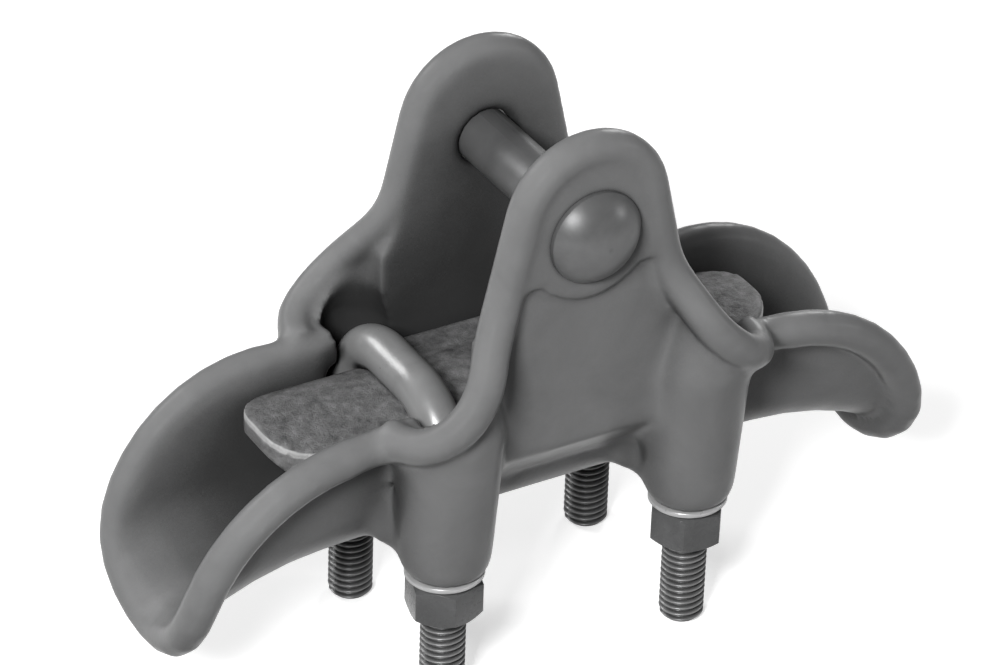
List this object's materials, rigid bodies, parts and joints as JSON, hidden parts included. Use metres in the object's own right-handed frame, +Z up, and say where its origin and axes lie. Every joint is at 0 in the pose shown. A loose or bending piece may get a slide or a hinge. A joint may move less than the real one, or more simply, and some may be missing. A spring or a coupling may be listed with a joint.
{
  "type": "suspension clamp",
  "caption": "Boat-shaped overhead line suspension clamp with flared conductor mouths, clevis ears with a headed pin, and a keeper held down by U-bolts with hex nuts.",
  "frame": {"origin": "on the plane that the four threaded ends stand on, under the middle of the bounding box", "axes": "+X along the conductor, +Y along the clevis pin from its head to its cotter pin, +Z up towards the ears"},
  "size_m": [0.236, 0.0904, 0.1672],
  "materials": {
    "casting": "galvanised, satin",
    "keeper": "galvanised, rough",
    "ubolt": "galvanised, satin",
    "nut": "galvanised, satin",
    "washer": "galvanised, satin",
    "pin": "galvanised, bright",
    "cotter": "stainless, bright"
  },
  "bodies": {
    "casting": {"clamp_body": "casting", "lock_washer_left_near": "washer", "lock_washer_left_far": "washer", "lock_washer_right_near": "washer", "lock_washer_right_far": "washer"},
    "clamping_set": {"keeper": "keeper", "ubolt_left": "ubolt", "ubolt_right": "ubolt"},
    "pin": {"clevis_pin": "pin", "cotter_pin": "cotter"},
    "nut_left_near_body": {"nut_left_near": "nut"},
    "nut_left_far_body": {"nut_left_far": "nut"},
    "nut_right_near_body": {"nut_right_near": "nut"},
    "nut_right_far_body": {"nut_right_far": "nut"}
  },
  "joints": [
    {"name": "pin_turn", "type": "hinge", "parent": "casting", "child": "pin", "pos_m": [0, 0, 0.138], "axis": [0, 1, 0], "continuous": true},
    {"name": "clamping_travel", "type": "slide", "parent": "casting", "child": "clamping_set", "axis": [0, 0, 1], "range_m": [-0.004, 0.014]},
    {"name": "nut_left_near_turn", "type": "hinge", "parent": "casting", "child": "nut_left_near_body", "pos_m": [-0.0385, -0.0262, 0.0324], "axis": [0, 0, 1], "range_deg": [-2580.5, 738]},
    {"name": "nut_left_far_turn", "type": "hinge", "parent": "casting", "child": "nut_left_far_body", "pos_m": [-0.0385, 0.0262, 0.0324], "axis": [0, 0, 1], "range_deg": [-2580.5, 738]},
    {"name": "nut_right_near_turn", "type": "hinge", "parent": "casting", "child": "nut_right_near_body", "pos_m": [0.0385, -0.0262, 0.0324], "axis": [0, 0, 1], "range_deg": [-2580.5, 738]},
    {"name": "nut_right_far_turn", "type": "hinge", "parent": "casting", "child": "nut_right_far_body", "pos_m": [0.0385, 0.0262, 0.0324], "axis": [0, 0, 1], "range_deg": [-2580.5, 738]}
  ],
  "couplings": [
    {"joint": "nut_left_near_turn", "follows": "clamping_travel", "rad_per_m": -3215.8},
    {"joint": "nut_left_far_turn", "follows": "clamping_travel", "rad_per_m": -3215.8},
    {"joint": "nut_right_near_turn", "follows": "clamping_travel", "rad_per_m": -3215.8},
    {"joint": "nut_right_far_turn", "follows": "clamping_travel", "rad_per_m": -3215.8}
  ]
}
